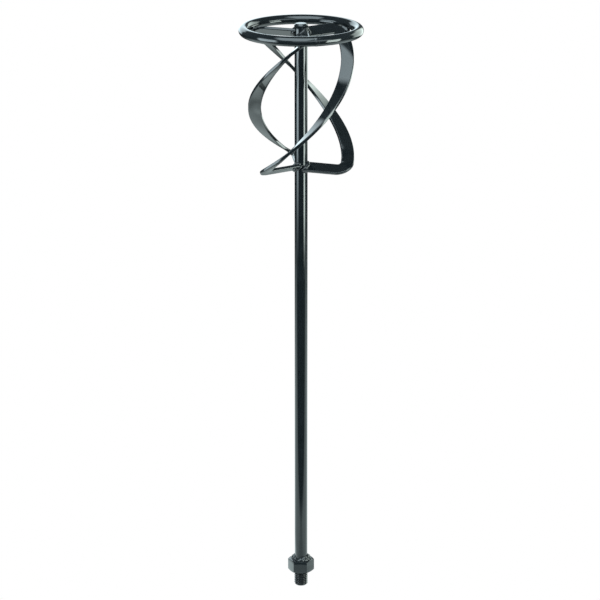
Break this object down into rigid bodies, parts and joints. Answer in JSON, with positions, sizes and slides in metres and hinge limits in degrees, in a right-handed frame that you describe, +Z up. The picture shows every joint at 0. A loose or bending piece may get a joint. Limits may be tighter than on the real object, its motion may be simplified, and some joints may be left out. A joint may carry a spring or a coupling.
{
  "type": "mortar mixing paddle",
  "caption": "Welded steel mixing paddle: round shaft with a threaded spindle end and hexagonal collar, and a head of right-hand helical flights inside a ring.",
  "frame": {"origin": "centre of the thread where it leaves the hexagonal collar's seat face", "axes": "+Z runs up the shaft from the spindle end to the ring; -Z points along the thread into the mixer's spindle; +X and +Y lie across the shaft"},
  "size_m": [0.125, 0.125, 0.603],
  "materials": {
    "black_lacquer": "gloss black lacquer over drawn and bent steel",
    "thread_lacquer": "thin black lacquer over a rolled thread, duller than the bars",
    "weld_lacquer": "gloss black lacquer over rippled weld beads"
  },
  "bodies": {
    "root": {"shaft": "black_lacquer", "threaded_stud": "thread_lacquer", "hex_collar": "black_lacquer", "collar_weld": "weld_lacquer", "ring": "black_lacquer", "ring_closing_weld": "weld_lacquer", "flight_1": "black_lacquer", "flight_2": "black_lacquer", "flight_3": "black_lacquer", "lower_weld_top_1": "weld_lacquer", "lower_weld_top_2": "weld_lacquer", "lower_weld_top_3": "weld_lacquer", "lower_weld_under_1": "weld_lacquer", "lower_weld_under_2": "weld_lacquer", "lower_weld_under_3": "weld_lacquer", "upper_weld_top_1": "weld_lacquer", "upper_weld_top_2": "weld_lacquer", "upper_weld_top_3": "weld_lacquer", "upper_weld_under_1": "weld_lacquer", "upper_weld_under_2": "weld_lacquer", "upper_weld_under_3": "weld_lacquer", "ring_weld_1": "weld_lacquer", "ring_weld_2": "weld_lacquer", "ring_weld_3": "weld_lacquer"}
  },
  "joints": []
}
